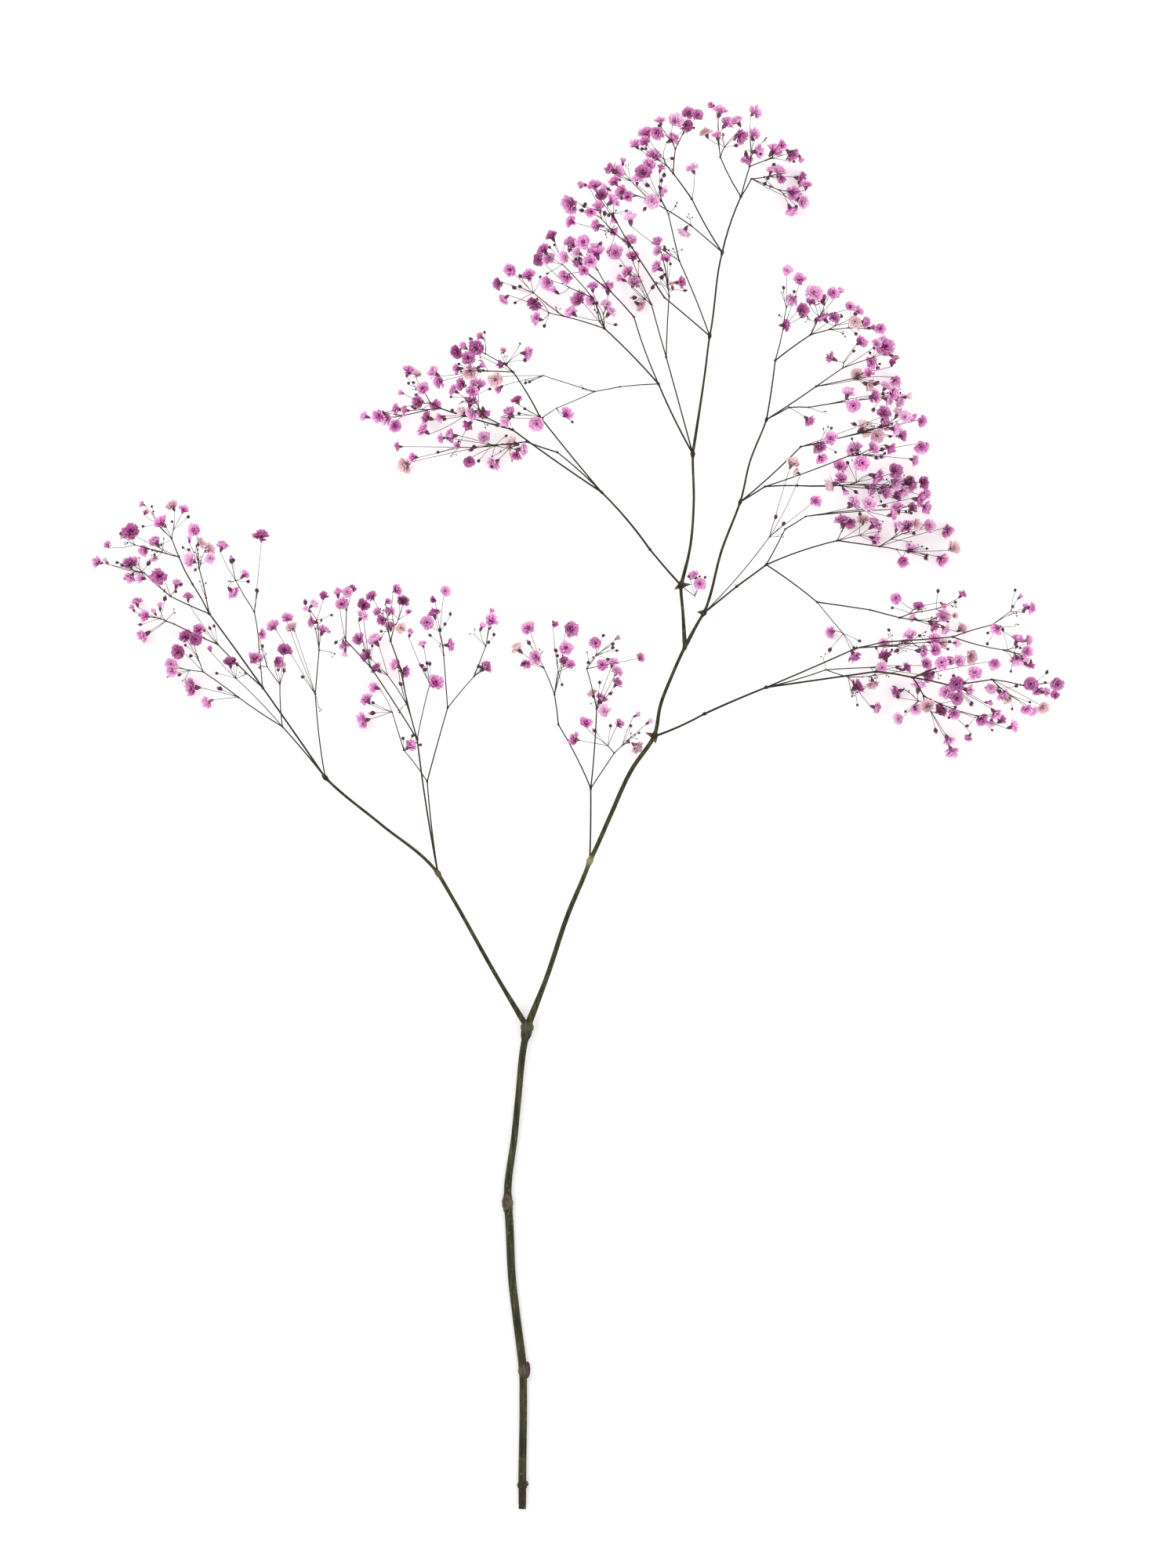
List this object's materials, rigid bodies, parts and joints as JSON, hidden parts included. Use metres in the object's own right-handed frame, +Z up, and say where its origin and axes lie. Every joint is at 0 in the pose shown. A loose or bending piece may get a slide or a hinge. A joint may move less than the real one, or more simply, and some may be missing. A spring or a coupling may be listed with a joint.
{
  "type": "gypsophila stem",
  "caption": "Cut gypsophila stem lying flat: a knotted stalk forking into wiry branches with sprays of small pink double florets.",
  "frame": {"origin": "middle of the bounding box's bottom, on the surface the stem lies on", "axes": "+Y from the cut end towards the topmost florets, +Z up out of the surface, +X to the right seen from above"},
  "size_m": [0.4942, 0.7157, 0.0762],
  "materials": {
    "stem": "matt olive-brown living stalk",
    "sprig": "matt petals, bright magenta-pink, on dark wiry twigs",
    "bract": "matt, dry and papery, brown"
  },
  "bodies": {
    "root": {"main_stem": "stem", "left_branch": "stem", "leader": "stem", "upper_arm": "stem", "right_arm": "stem", "top_leader": "stem", "mid_left_right_sprig": "sprig", "mid_left_outer_sprig": "sprig", "far_left_limb": "sprig", "far_left_low_sprig": "sprig", "far_left_short_sprig": "sprig", "middle_top_sprig": "sprig", "lower_right_long_sprig": "sprig", "upper_left_low_sprig": "sprig", "upper_node_sprig": "sprig", "top_left_high_sprig": "sprig", "top_mid_sprig": "sprig", "right_low_sprig": "sprig", "right_thin_sprig": "sprig", "right_mid_sprig": "sprig", "right_centre_sprig": "sprig", "right_top_sprig": "sprig", "right_high_sprig": "sprig", "right_upper_sprig": "sprig", "top_fan_low_sprig": "sprig", "top_fan_high_sprig": "sprig", "top_arc_left_sprig": "sprig", "top_arc_mid_sprig": "sprig", "top_arc_right_sprig": "sprig", "mid_left_low_sprig": "sprig", "mid_left_far_right_sprig": "sprig", "mid_left_centre_sprig": "sprig", "mid_left_near_sprig": "sprig", "far_left_side_sprig": "sprig", "far_left_inner_sprig": "sprig", "far_left_tip_sprig": "sprig", "far_left_west_sprig": "sprig", "far_left_east_sprig": "sprig", "far_left_near_sprig": "sprig", "middle_left_sprig": "sprig", "lower_right_upper_sprig": "sprig", "lower_right_mid_sprig": "sprig", "lower_right_drop_sprig": "sprig", "lower_right_tip_sprig": "sprig", "lower_right_far_tip_sprig": "sprig", "upper_left_mid_sprig": "sprig", "upper_left_high_sprig": "sprig", "upper_left_centre_sprig": "sprig", "upper_left_cross_sprig": "sprig", "top_left_low_sprig": "sprig", "top_left_inner_sprig": "sprig", "right_curve_sprig": "sprig", "lower_right_high_sprig": "sprig", "right_inner_sprig": "sprig", "top_arc_end_sprig": "sprig", "leader_bract_left": "bract", "leader_bract_lower": "bract", "upper_bract_right": "bract", "upper_bract_lower": "bract", "right_bract": "bract"}
  },
  "joints": []
}
